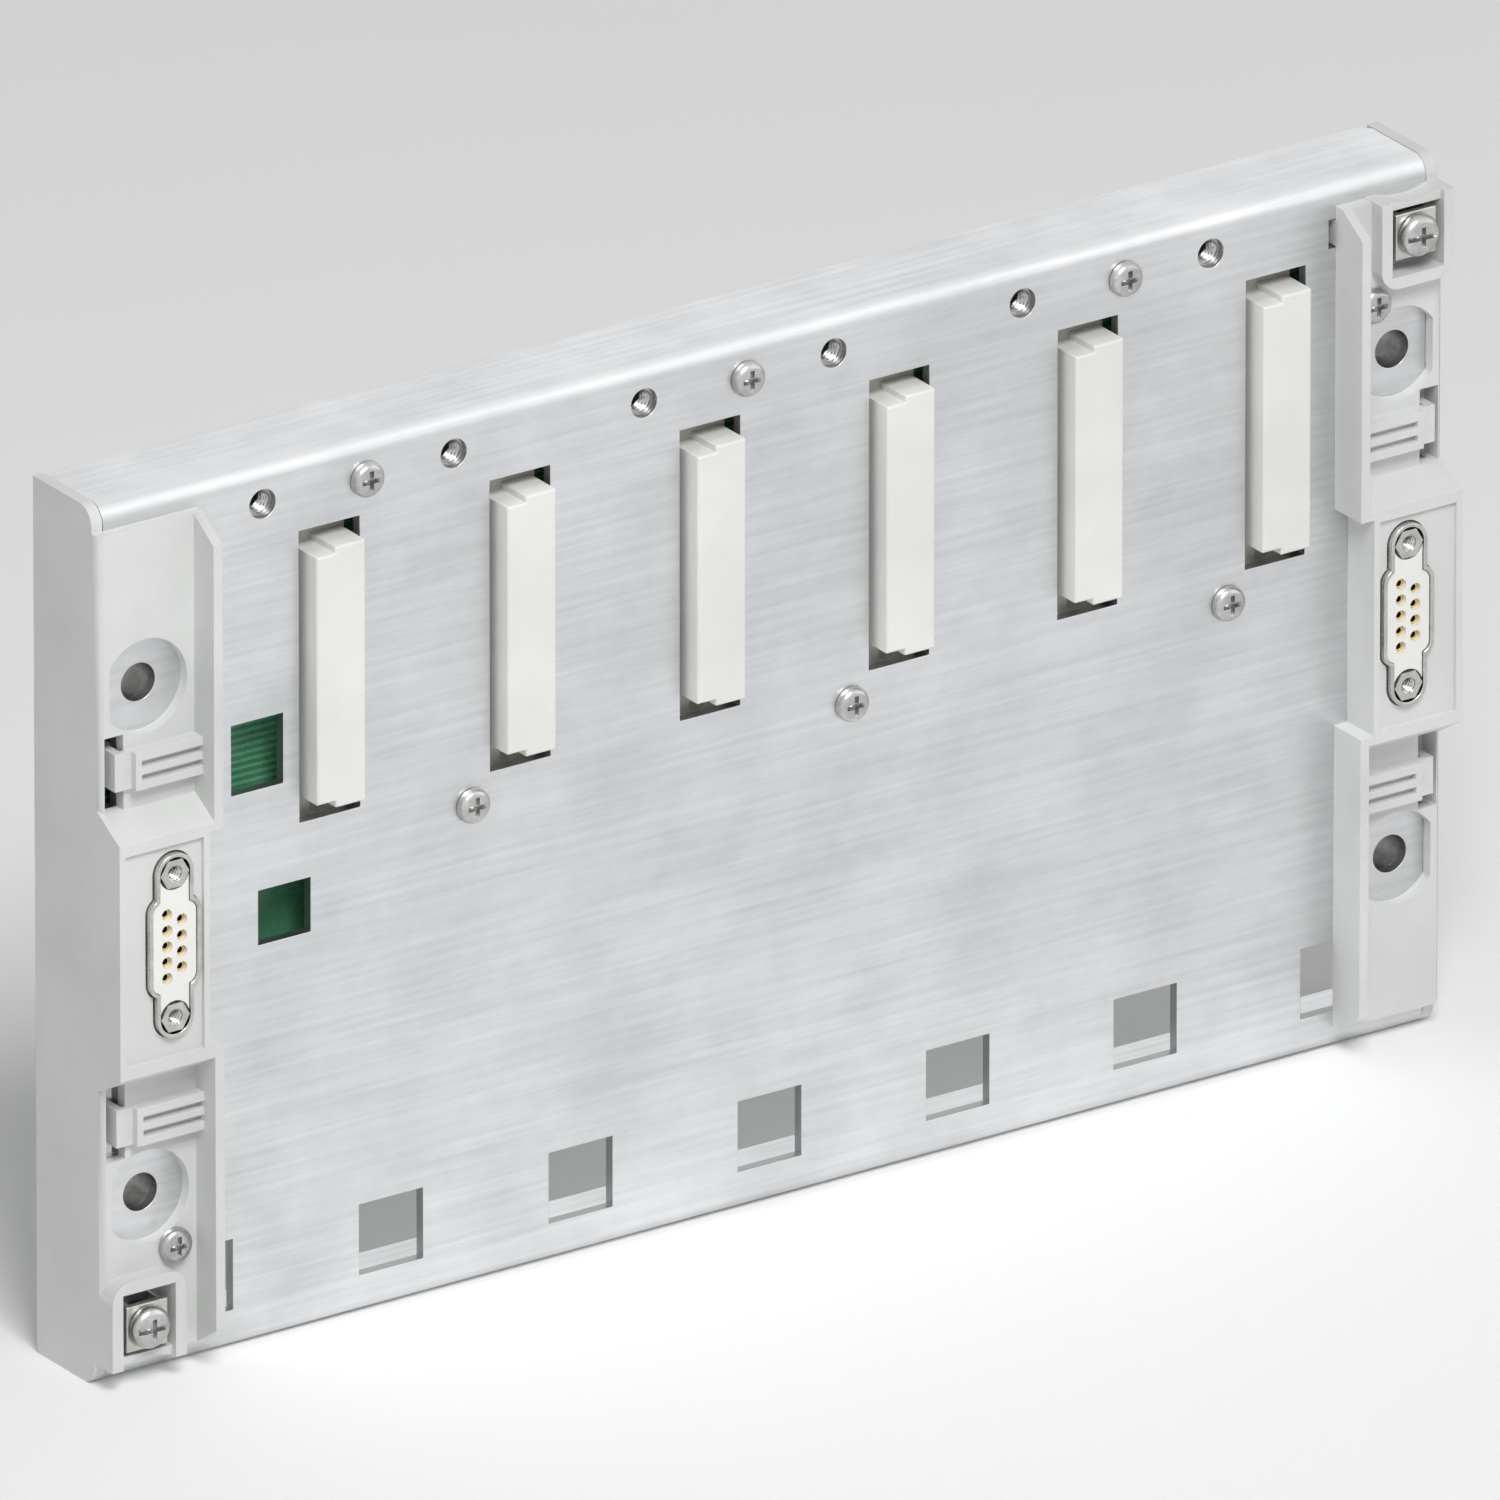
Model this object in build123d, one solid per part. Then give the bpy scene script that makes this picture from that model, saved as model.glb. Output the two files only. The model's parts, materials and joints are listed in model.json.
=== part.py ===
from build123d import *
import math
import os

# A wall-fixed backplane rack for plug-in controller modules.
# X runs along the rack, Z up, and the mounting plane is Y = 0 with the front towards -Y.
# The origin is the centre of the four fixing holes on the mounting plane.
# "Depth" is the distance in front of the mounting plane. All sizes are in millimetres.

# Overall rack
rack_length = 261.6
rack_height = 153.0
front_depth = 16.9

# Panel fixing holes, measured from the rack's ends and from its long edges
panel_hole_end_inset = 8.8
panel_hole_edge_inset = 32.05
panel_hole_diameter = 6.5

# Folded channel
sheet = 2.0
bend_radius = 3.1
flange_chamfer = 1.8
channel_clearance = 0.1

# General fits
sliding_gap = 0.1
screw_gap = 0.05
passing_gap = 0.4

# Module slots, which share the length between the end caps
slot_count = 6
slot_cap_gap = 0.25
slot_shift = 7.0
slot_thread_inset = 6.9
slot_thread_left = 12.8
slot_socket_drop = 31.8

# Hook windows for the modules' feet
hook_window = 12.4
hook_window_right = 11.6
hook_window_rise = 13.2

# Locating windows beside the first slot: offset from its socket's centre, width and height
upper_window_x = -14.0
upper_window_z = -11.5
upper_window_width = 10.0
upper_window_height = 12.2
lower_window_x = -8.85
lower_window_z = -40.05
lower_window_width = 10.1
lower_window_height = 9.5

# Backplane board
board_thickness = 1.6
board_gap = 5.3
board_edge_gap = 0.8
board_top_gap = 2.0
board_height = 89.0

# Slot socket on the board
socket_height = 9.8
socket_flange = 3.4
socket_flange_length = 55.0
socket_ear_spacing = 50.0
socket_ear_hole = 2.8
socket_cavity_rows = 3
socket_cavity_count = 16
socket_cavity_pitch = 2.54
socket_cavity_depth = 6.0
socket_cavity_width = 0.9

# Push-on dust cover, with a short column on the left and a tall one on the right
cover_width = 9.4
cover_tall = 45.4
cover_short = 43.1
cover_short_width = 3.6
cover_wall = 0.9
cover_chamfer = 0.3
opening_side_gap = 1.15
opening_end_gap = 2.65

# Board screws, threaded spacers and where they stand beside each pair of slots
board_screw_inset = 7.2
board_screw_drop = 61.7
board_screw_upper_right = 7.1
board_screw_lower_right = 27.4
m3_diameter = 3.0
m3_head_diameter = 6.0
m3_head_height = 1.7
m3_head_round = 1.2
m3_length = 6.0
spacer_hex = 5.5
spacer_stem_diameter = 4.2

# Pressed M4 nuts
m4_diameter = 4.0
nut_shank_diameter = 4.9
nut_shank = 1.0
nut_body_diameter = 7.2
nut_body = 2.6

# Spacer tubes behind the fixing holes
tube_diameter = 11.0

# End cap moulding, measured from the rack's end
cap_wall = 2.1
cap_floor = 2.0
cap_width = 20.0
cap_floor_inset = 4.3
cap_corner_radius = 3.4
cap_edge_chamfer = 0.9
rib_thickness = 1.75
rib_slant = 3.8
cap_front_rise = 7.7
fixing_clearance_diameter = 16.2

# Port block of the cap
block_width = 17.4
block_half_height = 20.5
block_slope = 3.4
block_wall = 1.0
block_front_wall = 2.2
block_recess = 0.8
block_lip = 1.2
block_strip = 2.1
block_step = 1.5

# Snap clip of the cap
pocket_start = 1.0
pocket_width = 3.6
pocket_below_hole = 7.45
clip_start = 5.4
clip_share = 0.5
clip_offset = 0.55
clip_rise = 4.4
clip_slot_height = 1.1
clip_slot_pitch = 2.4
clip_slot_depth = 1.3
clip_slot_margin = 1.2
clip_arm = 1.6
clip_barb = 0.8
clip_barb_height = 1.0

# Shroud around the earth terminal
shroud_width = 14.3
shroud_length = 15.2
shroud_end_inset = 4.1
shroud_rise = 5.1
shroud_wall = 2.1
shroud_corner = 3.5
shroud_end_wall = 1.8
shroud_end_drop = 1.2
shroud_dish_depth = 0.9

# Locating tab of the cap and its slot in the channel
tab_height = 4.6
tab_width = 3.0
tab_length = 4.0
tab_shift = 0.65
tab_inset = 9.1

# Cap screw
cap_screw_right = 13.9
cap_screw_above_shroud = 3.1
cap_screw_length = 8.0

# Earth terminal
earth_head_diameter = 7.2
earth_head_height = 2.2
earth_head_round = 1.4
earth_slot_span = 5.8
earth_screw_length = 9.5
clamp_size = 8.0
clamp_plate = 1.2
clamp_height = 4.4

# Nine-way port, its centre measured from the rack's end
port_inset = 10.6
port_rise = 0.9
port_width = 8.5
port_length = 17.0
port_slant = 10.0
port_corner = 2.0
port_rim = 0.7
port_ear_radius = 2.85
port_body_height = 8.25
port_body_width = 10.4
port_body_length = 30.0
port_flange = 1.0
port_flange_width = 11.4
port_flange_length = 33.0
port_nose = 6.0
port_face_drop = 0.4
contact_pitch = 2.77
contact_row_gap = 2.84
contact_row_count = 5
contact_diameter = 1.9
contact_bore = 1.1
contact_bore_depth = 6.0
contact_drop = 0.8
contact_tail_diameter = 0.8
contact_tail_reach = 1.2
jack_spacing = 24.99
jack_hex = 4.75
jack_thread = 2.8
jack_stud_gap = 0.3
jack_bore_depth = 5.0
jack_stud = 6.0

# Drive recesses
cross_width = 0.8
cross_span = 3.4
cross_depth = 1.0

# Positions that follow from the sizes above
half_length = rack_length / 2
half_height = rack_height / 2
panel_spacing_x = rack_length - 2 * panel_hole_end_inset
panel_spacing_z = rack_height - 2 * panel_hole_edge_inset
slot_pitch = (rack_length - 2 * (cap_width + slot_cap_gap)) / slot_count
board_screw_pairs = slot_count // 2
sheet_back = front_depth - sheet
board_front = sheet_back - board_gap
board_back = board_front - board_thickness
channel_length = rack_length - 2 * (cap_wall + channel_clearance)
channel_height = rack_height - 2 * channel_clearance
board_top = channel_height / 2 - sheet - board_top_gap
board_length = channel_length - 2 * board_edge_gap
slot_thread_z = half_height - slot_thread_inset
slot_z = slot_thread_z - slot_socket_drop
slot_xs = [slot_shift + (i - (slot_count - 1) / 2) * slot_pitch for i in range(slot_count)]
hook_z = hook_window_rise - half_height
upper_screw_z = half_height - board_screw_inset
lower_screw_z = upper_screw_z - board_screw_drop
cap_floor_front = front_depth + cap_floor
cap_front = front_depth + cap_front_rise
port_x = half_length - port_inset
shroud_low_z = shroud_end_inset - half_height
shroud_top_z = shroud_low_z + shroud_length
earth_x = shroud_width / 2 - half_length
earth_z = (shroud_low_z + shroud_top_z - shroud_wall) / 2
cap_screw_x = cap_screw_right - half_length
cap_screw_z = shroud_top_z + cap_screw_above_shroud
tab_z = tab_inset - half_height
pocket_low_z = block_half_height + block_slope
pocket_length = panel_spacing_z / 2 - pocket_below_hole - pocket_low_z
clip_height = clip_share * pocket_length


# Helpers

def front_plane(depth):
    """A plane that faces the front at this depth: its x is X and its y is Z."""
    return Plane(origin=(0, -depth, 0), x_dir=(1, 0, 0), z_dir=(0, -1, 0))


def pad(sketch, back, front):
    """Extrude a sketch drawn in X and Z from one depth to another."""
    return extrude(front_plane(back) * sketch, amount=front - back)


def run_across(profile, x_low, x_high):
    """Extrude a profile drawn in depth and Z along X."""
    side = Plane(origin=(x_high, 0, 0), x_dir=(0, -1, 0), z_dir=(-1, 0, 0))
    return extrude(side * profile, amount=x_high - x_low)


def span(x_low, x_high, z_low, z_high):
    """A rectangle between two X and two Z."""
    centre = Pos((x_low + x_high) / 2, (z_low + z_high) / 2)
    return centre * Rectangle(x_high - x_low, z_high - z_low)


def at(x, z, depth, local):
    """Place a part that was drawn about its own axis, with its z to the front."""
    return front_plane(depth) * Pos(x, z, 0) * local


def turned(*steps):
    """A round body on its own axis from steps of radius, start and end."""
    body = Part()
    for radius, start, end in steps:
        body += extrude(Pos(0, 0, start) * Circle(radius), amount=end - start)
    return body


def half_turn(part):
    """The same moulding turned half round about the rack's front axis."""
    return part.rotate(Axis.Y, 180)


def on_end(side, x, z):
    """A place on one end cap, from its place on the left one: side is -1 left and 1 right."""
    return (-side * x, -side * z)


# Channel

def open_section(depth, height, radius):
    """A section from the mounting plane to this depth whose two front corners are round."""
    half = height / 2
    wall = FilletPolyline((0, -half), (depth, -half), (depth, half), (0, half), radius=radius)
    return make_face(wall.edges() + Line((0, half), (0, -half)).edges())


def pattern_windows():
    """The openings that repeat with the slots."""
    opening = Rectangle(cover_width + 2 * opening_side_gap, cover_tall + 2 * opening_end_gap)
    thread = Circle(nut_shank_diameter / 2 + screw_gap)
    hook = Rectangle(hook_window, hook_window)
    windows = Sketch() + Pos(slot_xs[0] + hook_window_right - slot_pitch, hook_z) * hook
    for x in slot_xs:
        windows += Pos(x, slot_z) * opening
        windows += Pos(x - slot_thread_left, slot_thread_z) * thread
        windows += Pos(x + hook_window_right, hook_z) * hook
    return windows


def locating_windows():
    """The two windows beside the first slot."""
    upper = Pos(slot_xs[0] + upper_window_x, slot_z + upper_window_z)
    lower = Pos(slot_xs[0] + lower_window_x, slot_z + lower_window_z)
    return (
        Sketch()
        + upper * Rectangle(upper_window_width, upper_window_height)
        + lower * Rectangle(lower_window_width, lower_window_height)
    )


def screw_holes():
    """The holes for panel screws, board screws, cap screws and earth nuts."""
    holes = Sketch()
    for x in (-panel_spacing_x / 2, panel_spacing_x / 2):
        for z in (-panel_spacing_z / 2, panel_spacing_z / 2):
            holes += Pos(x, z) * Circle(panel_hole_diameter / 2)
    for x, z in board_screw_places():
        holes += Pos(x, z) * Circle(m3_diameter / 2 + screw_gap)
    for side in (-1, 1):
        holes += Pos(*on_end(side, cap_screw_x, cap_screw_z)) * Circle(m3_diameter / 2 + screw_gap)
        holes += Pos(*on_end(side, earth_x, earth_z)) * Circle(nut_shank_diameter / 2 + screw_gap)
    return holes


def end_notches():
    """Notches at the sheet's ends: for each port, each snap hook and each cap tab."""
    reach = half_length + sheet
    port_half = port_flange_length / 2 + passing_gap
    port_inner = port_x - port_flange_width / 2 - passing_gap
    hook_inner = half_length - pocket_start - pocket_width
    hook_top = pocket_low_z + pocket_length
    tab_x = cap_width + tab_shift - tab_width / 2 - half_length
    tab_slot = Rectangle(tab_width + 2 * tab_shift, tab_height + passing_gap)
    notches = Sketch()
    for side in (-1, 1):
        left, right = sorted((side * port_inner, side * reach))
        notches += span(left, right, port_rise - port_half, port_rise + port_half)
        left, right = sorted((side * hook_inner, side * reach))
        notches += span(left, right, pocket_low_z, hook_top) + span(left, right, -hook_top, -pocket_low_z)
        notches += Pos(*on_end(side, tab_x, tab_z)) * tab_slot
    return notches


def chassis():
    """The folded channel: one sheet, two long bends, open to the panel."""
    outside = open_section(front_depth, channel_height, bend_radius)
    inside = open_section(sheet_back, channel_height - 2 * sheet, bend_radius - sheet)
    body = run_across(outside - inside, -channel_length / 2, channel_length / 2)
    rear_corners = body.edges().filter_by(Axis.Z).group_by(Axis.Y)[-1]
    body = chamfer(rear_corners, flange_chamfer)
    cuts = pattern_windows() + locating_windows() + screw_holes() + end_notches()
    return body - pad(cuts, sheet_back - sheet / 2, front_depth + sheet / 2)


# Backplane board

def board_screw_places():
    """Two screws for each pair of slots, one above and one below."""
    places = []
    for x in slot_xs[: 2 * board_screw_pairs : 2]:
        places.append((x + board_screw_upper_right, upper_screw_z))
        places.append((x + board_screw_lower_right, lower_screw_z))
    return places


def backplane_board():
    """The board, notched round the upper spacer tubes."""
    low = board_top - board_height
    outline = span(-board_length / 2, board_length / 2, low, board_top)
    for side in (-1, 1):
        reach = tube_diameter / 2 + passing_gap
        outline -= Pos(side * panel_spacing_x / 2, panel_spacing_z / 2) * Circle(reach)
        edge = span(0, board_length, -reach, reach)
        edge = edge if side > 0 else mirror(edge, Plane.YZ)
        outline -= Pos(side * panel_spacing_x / 2, panel_spacing_z / 2) * edge
    for x, z in board_screw_places():
        outline -= Pos(x, z) * Circle(spacer_stem_diameter / 2 + screw_gap)
    for x in slot_xs:
        for z in (-socket_ear_spacing / 2, socket_ear_spacing / 2):
            outline -= Pos(x, slot_z + z) * Circle(socket_ear_hole / 2)
    for side in (-1, 1):
        for x, z in contact_places():
            hole = Circle(contact_tail_diameter / 2 + screw_gap)
            outline -= Pos(side * port_x + x, port_rise + z) * hole
    return pad(outline, board_back, board_front)


# Slot sockets and dust covers

def keyed_outline(inset):
    """The stepped outline of a slot: a short column beside a tall one, drawn in by this much."""
    left = -cover_width / 2 + inset
    right = cover_width / 2 - inset
    step = -cover_width / 2 + cover_short_width + inset
    tall = cover_tall / 2 - inset
    short = cover_short / 2 - inset
    return span(left, step, -short, short) + span(step, right, -tall, tall)


def slot_socket(x):
    """A socket with a long flange, an ear hole at each end and rows of contact cavities."""
    flange_width = cover_width + 2 * (opening_side_gap - passing_gap)
    flange = Rectangle(flange_width, socket_flange_length)
    for z in (-socket_ear_spacing / 2, socket_ear_spacing / 2):
        flange -= Pos(0, z) * Circle(socket_ear_hole / 2)
    nose = keyed_outline(cover_wall + sliding_gap)
    top = board_front + socket_height
    place = Pos(x, slot_z)
    body = pad(place * flange, board_front, board_front + socket_flange)
    body += pad(place * nose, board_front, top)
    rows = Sketch()
    for row in range(socket_cavity_rows):
        offset = (row - (socket_cavity_rows - 1) / 2) * socket_cavity_pitch
        rows += Pos(offset, 0) * Rectangle(socket_cavity_width, socket_cavity_count * socket_cavity_pitch)
    return body - pad(place * rows, top - socket_cavity_depth, top)


def dust_cover(x):
    """A thin-walled cover that pushes over the socket's nose and seats on its flange."""
    back = board_front + socket_flange
    front = board_front + socket_height + sliding_gap + cover_wall
    place = Pos(x, slot_z)
    body = pad(place * keyed_outline(0), back, front)
    rim = body.faces().sort_by(Axis.Y)[0].edges()
    body = chamfer(rim, cover_chamfer)
    return body - pad(place * keyed_outline(cover_wall), back, front - cover_wall)


# Screws, spacers and nuts

def drive_recess(top, slot_span=0.0):
    """A cross recess, with a slot across the head where its span is given."""
    cross = Rectangle(cross_span, cross_width) + Rectangle(cross_width, cross_span)
    recess = extrude(Pos(0, 0, top) * cross, amount=-cross_depth)
    if slot_span:
        recess += extrude(Pos(0, 0, top) * Rectangle(slot_span, cross_width), amount=-cross_depth)
    return recess


def pan_screw(head_diameter, head_height, head_round, shank_diameter, length):
    """A pan head on a plain shank, drawn with the underside of its head at z = 0."""
    head = turned((head_diameter / 2, 0, head_height))
    rim = head.edges().sort_by(Axis.Z)[-1]
    return fillet(rim, head_round) + turned((shank_diameter / 2, -length, 0))


def m3_screw(length):
    head = pan_screw(m3_head_diameter, m3_head_height, m3_head_round, m3_diameter, length)
    return head - drive_recess(m3_head_height)


def board_screw(x, z):
    return at(x, z, front_depth, m3_screw(m3_length))


def board_spacer(x, z):
    """A hexagonal threaded spacer with a stem in the board."""
    body = extrude(RegularPolygon(spacer_hex / 2, 6, major_radius=False), amount=board_gap)
    body += turned((spacer_stem_diameter / 2, -board_thickness, 0))
    bore = turned((m3_diameter / 2 + screw_gap, -board_thickness, board_gap))
    return at(x, z, board_front, body - bore)


def press_nut():
    """A nut pressed into the sheet from behind, drawn with the sheet's back at z = 0."""
    body = turned((nut_body_diameter / 2, -nut_body, 0), (nut_shank_diameter / 2, 0, nut_shank))
    bore = turned((m4_diameter / 2 + screw_gap, -nut_body, nut_shank))
    return body - bore


def fixing_spacer(x, z):
    """A tube that carries the sheet on the panel round one fixing hole."""
    ring = Circle(tube_diameter / 2) - Circle(panel_hole_diameter / 2)
    return pad(Pos(x, z) * ring, 0, sheet_back)


# End caps

def cap_side_wall():
    """The wall over the channel's end, stepped up to the floor's front between the bends."""
    wall = open_section(front_depth, rack_height, cap_corner_radius)
    half = half_height - cap_floor_inset
    step = Pos(front_depth, 0) * Rectangle(2 * cap_floor, 2 * half)
    return run_across(wall + step, -half_length, -half_length + cap_wall)


def rib_profile():
    """The long rib at the cap's inner edge, with slanted outer ends."""
    outer = half_height - cap_floor_inset
    tip = outer - rib_slant
    upper = Polyline(
        (front_depth, outer), (cap_floor_front, outer), (cap_front, tip), (cap_front, 0), (front_depth, 0),
        close=True,
    )
    face = make_face(upper.edges())
    return face + mirror(face, Plane.XZ)


def block_profile():
    """The port block seen from the side: a flat front between two slopes."""
    foot = block_half_height + block_slope
    return make_face(
        Polyline(
            (front_depth, -foot), (cap_floor_front, -foot), (cap_front, -block_half_height),
            (cap_front, block_half_height), (cap_floor_front, foot), (front_depth, foot),
            close=True,
        ).edges()
    )


def cap_plate():
    """Floor, rib and port block, before anything is cut."""
    left = -half_length
    half = half_height - cap_floor_inset
    floor = pad(span(left, left + cap_width, -half, half), front_depth, cap_floor_front)
    rib = run_across(rib_profile(), left + cap_width - rib_thickness, left + cap_width)
    block = run_across(block_profile(), left, left + cap_width)
    return floor + rib + block


def block_cuts():
    """The step at the block's inner side, its recessed front and the room behind it."""
    left = -half_length
    front = cap_front + cap_floor
    inner = pad(
        span(
            left + block_width, left + cap_width + sheet,
            block_step - block_half_height, block_half_height - block_step,
        ),
        front_depth, front,
    )
    panel = pad(
        span(
            left + block_lip, left + block_width - block_lip,
            block_strip - block_half_height, block_half_height - block_strip,
        ),
        cap_front - block_recess, front,
    )
    room = pad(
        span(
            left + cap_wall, left + block_width - block_wall,
            block_wall - block_half_height, block_half_height - block_wall,
        ),
        front_depth, cap_front - block_front_wall,
    )
    return inner + panel + room


def snap_clip(side):
    """The slotted block beside the pocket, and the hook that grips behind the sheet."""
    left = -half_length
    middle = side * (pocket_low_z + pocket_length / 2 + clip_offset)
    low, high = middle - clip_height / 2, middle + clip_height / 2
    front = front_depth + clip_rise
    right = left + cap_width - rib_thickness
    block = pad(span(left + clip_start, right, low, high), front_depth, front)
    slot_left = left + clip_start + clip_slot_margin
    for z in (middle - clip_slot_pitch / 2, middle + clip_slot_pitch / 2):
        slot = span(slot_left, right, z - clip_slot_height / 2, z + clip_slot_height / 2)
        block -= pad(slot, front - clip_slot_depth, front)
    arm_left = left + cap_wall + channel_clearance + sliding_gap
    arm = Polyline(
        (arm_left, cap_floor_front + cap_floor / 2),
        (arm_left, sheet_back - clip_barb_height - sliding_gap),
        (arm_left + clip_arm, sheet_back - clip_barb_height - sliding_gap),
        (left + pocket_start + pocket_width + clip_barb, sheet_back - sliding_gap),
        (arm_left + clip_arm, sheet_back - sliding_gap),
        (arm_left + clip_arm, cap_floor_front - sliding_gap),
        (left + clip_start, cap_floor_front - sliding_gap),
        (left + clip_start, cap_floor_front + cap_floor / 2),
        close=True,
    )
    level = Plane(origin=(0, 0, low), x_dir=(1, 0, 0), z_dir=(0, 0, 1))
    hook = extrude(level * mirror(make_face(arm.edges()), Plane.XZ), amount=clip_height)
    return block + hook


def pockets():
    """Through pockets beside the snap clips."""
    left = -half_length
    cut = Sketch()
    for side in (-1, 1):
        middle = side * (pocket_low_z + pocket_length / 2)
        low, high = middle - pocket_length / 2, middle + pocket_length / 2
        cut += span(left + pocket_start, left + pocket_start + pocket_width, low, high)
    return pad(cut, sheet_back, cap_floor_front + cap_floor)


def shroud():
    """The wall round the earth terminal, with its two upper corners round."""
    left = -half_length
    outline = span(left, left + shroud_width, shroud_low_z, shroud_top_z)
    upper = outline.vertices().group_by(Axis.Y)[-1]
    return pad(fillet(upper, shroud_corner), front_depth, front_depth + shroud_rise)


def shroud_opening():
    """The well of the terminal, and the drop of its end wall between the side walls."""
    low = shroud_wall - half_length
    high = shroud_width - shroud_wall - half_length
    inner_end = shroud_low_z + shroud_end_wall
    front = front_depth + shroud_rise
    well = pad(span(low, high, inner_end, shroud_top_z - shroud_wall), front_depth, front)
    return well + pad(span(low, high, shroud_low_z, inner_end), front - shroud_end_drop, front)


def shroud_dish():
    """A shallow hollow in the end wall's outer face, an arc from side wall to side wall."""
    chord = shroud_width - 2 * shroud_wall
    radius = (chord ** 2 / 4 + shroud_dish_depth ** 2) / (2 * shroud_dish_depth)
    middle = Pos(shroud_width / 2 - half_length, shroud_low_z + shroud_dish_depth - radius)
    hollow = middle * Circle(radius)
    hollow &= span(-half_length, 0, shroud_low_z, 0)
    return pad(hollow, front_depth, front_depth + shroud_rise)


def fixing_clearances():
    """The round clearances for the panel screws' heads, cut short by the side wall."""
    left = -half_length
    cut = Sketch()
    for side in (-1, 1):
        cut += Pos(-panel_spacing_x / 2, side * panel_spacing_z / 2) * Circle(fixing_clearance_diameter / 2)
    cut &= span(left + cap_wall, left + cap_width - rib_thickness, -half_height, half_height)
    return pad(cut, front_depth, cap_floor_front + cap_floor)


def cap_body():
    """The end cap as moulded, at the left end, before its port is cut."""
    left = -half_length
    body = cap_side_wall() + cap_plate()
    end_edges = body.edges().filter_by(Axis.Z).group_by(Axis.X)[0]
    behind_block = end_edges.group_by(Axis.Y)[1]
    body = chamfer(behind_block, cap_edge_chamfer)
    body -= fixing_clearances()
    body += shroud()
    body = body - shroud_opening() - shroud_dish() - block_cuts() - pockets()
    body += snap_clip(1) + snap_clip(-1)
    tab = Pos(left + cap_width - tab_width / 2, tab_z) * Rectangle(tab_width, tab_height)
    body += pad(tab, front_depth - tab_length, front_depth)
    hole = Pos(cap_screw_x, cap_screw_z) * Circle(m3_diameter / 2 + screw_gap)
    return body - pad(hole, front_depth, cap_floor_front)


def port_window(x):
    """The opening for the port's shell in the block's front."""
    outline = Pos(x, port_rise) * port_outline(port_rim + passing_gap / 2)
    return pad(outline, cap_front - block_front_wall, cap_front)


# Earth terminals

def earth_screw():
    """A larger pan screw whose cross recess has a slot right across it."""
    head = (earth_head_diameter, earth_head_height, earth_head_round)
    screw = pan_screw(*head, m4_diameter, earth_screw_length)
    return screw - drive_recess(earth_head_height, earth_slot_span)


def earth_clamp():
    """A saddle that presses a wire on the sheet: a plate with two turned-down sides."""
    side = clamp_size / 2
    saddle = make_face(
        Polyline(
            (-side, 0), (-side + clamp_plate, 0), (-side + clamp_plate, clamp_height - clamp_plate),
            (side - clamp_plate, clamp_height - clamp_plate), (side - clamp_plate, 0), (side, 0),
            (side, clamp_height), (-side, clamp_height),
            close=True,
        ).edges()
    )
    body = extrude(Plane.XZ * saddle, amount=clamp_size / 2, both=True)
    return body - turned((m4_diameter / 2 + sliding_gap, 0, clamp_height))


# Nine-way ports

def port_outline(grow):
    """The port's D with a round-ended ear beyond each end, grown by this much."""
    half_width = port_width / 2 + grow
    half_long = port_length / 2 + grow
    half_short = half_long - port_width * math.tan(math.radians(port_slant))
    corners = Polyline(
        (-half_width, -half_long), (half_width, -half_short),
        (half_width, half_short), (-half_width, half_long),
        close=True,
    )
    face = make_face(corners.edges())
    face = fillet(face.vertices(), port_corner + grow)
    return face + SlotCenterToCenter(jack_spacing, 2 * (port_ear_radius + grow), rotation=90)


def contact_places():
    """Five contacts in the left row and four, half a pitch off, in the right row."""
    places = []
    for row, count in ((-1, contact_row_count), (1, contact_row_count - 1)):
        for i in range(count):
            places.append((row * contact_row_gap / 2, (i - (count - 1) / 2) * contact_pitch))
    return places


def jack_places():
    return ((0, -jack_spacing / 2), (0, jack_spacing / 2))


def port_shell():
    """The pressed metal shell: a flange and a rim that follows the D and both ears."""
    flange = Rectangle(port_flange_width, port_flange_length) - port_outline(0)
    rim = port_outline(port_rim) - port_outline(0)
    body = extrude(flange, amount=port_flange)
    return body + extrude(rim, amount=port_flange + port_nose)


def port_insulator():
    """The moulded body behind the flange and its face inside the rim, with the contact holes."""
    face_top = port_flange + port_nose - port_face_drop
    body = extrude(Rectangle(port_body_width, port_body_length), amount=-port_body_height)
    body += extrude(port_outline(-sliding_gap), amount=face_top)
    cavities = Sketch()
    for x, z in contact_places():
        cavities += Pos(x, z) * Circle(contact_diameter / 2 + screw_gap)
    body -= extrude(Pos(0, 0, -port_body_height) * cavities, amount=port_body_height + face_top)
    for x, z in jack_places():
        well = turned(
            (jack_hex / 2 / math.cos(math.pi / 6) + sliding_gap, 0, face_top),
            (jack_thread / 2 + jack_stud_gap, -jack_stud - jack_stud_gap, 0),
        )
        body -= Pos(x, z, 0) * well
    return body


def port_contacts():
    """Nine bored sleeves, each with a solder tail through the board."""
    top = port_flange + port_nose - port_face_drop - contact_drop
    tail_end = -port_body_height - board_thickness - contact_tail_reach
    sleeve = turned(
        (contact_diameter / 2, -port_body_height, top),
        (contact_tail_diameter / 2, tail_end, -port_body_height),
    )
    sleeve -= turned((contact_bore / 2, top - contact_bore_depth, top))
    return Part() + [Pos(x, z, 0) * sleeve for x, z in contact_places()]


def port_jack(x, z):
    """A hexagonal jack screw with its stud in the body and a threaded bore in front."""
    top = port_flange + port_nose - port_face_drop / 2
    body = extrude(RegularPolygon(jack_hex / 2, 6, major_radius=False), amount=top)
    body += turned((jack_thread / 2, -jack_stud, 0))
    body -= turned((jack_thread / 2, top - jack_bore_depth, top))
    return Pos(x, z, 0) * body


# Export

def save(name, part):
    part.label = name
    export_step(part, f"parts/{name}.step")


def save_slots():
    for i, x in enumerate(slot_xs, 1):
        save(f"slot_socket_{i}", slot_socket(x))
        save(f"dust_cover_{i}", dust_cover(x))
        save(f"slot_nut_{i}", at(x - slot_thread_left, slot_thread_z, sheet_back, press_nut()))


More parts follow.
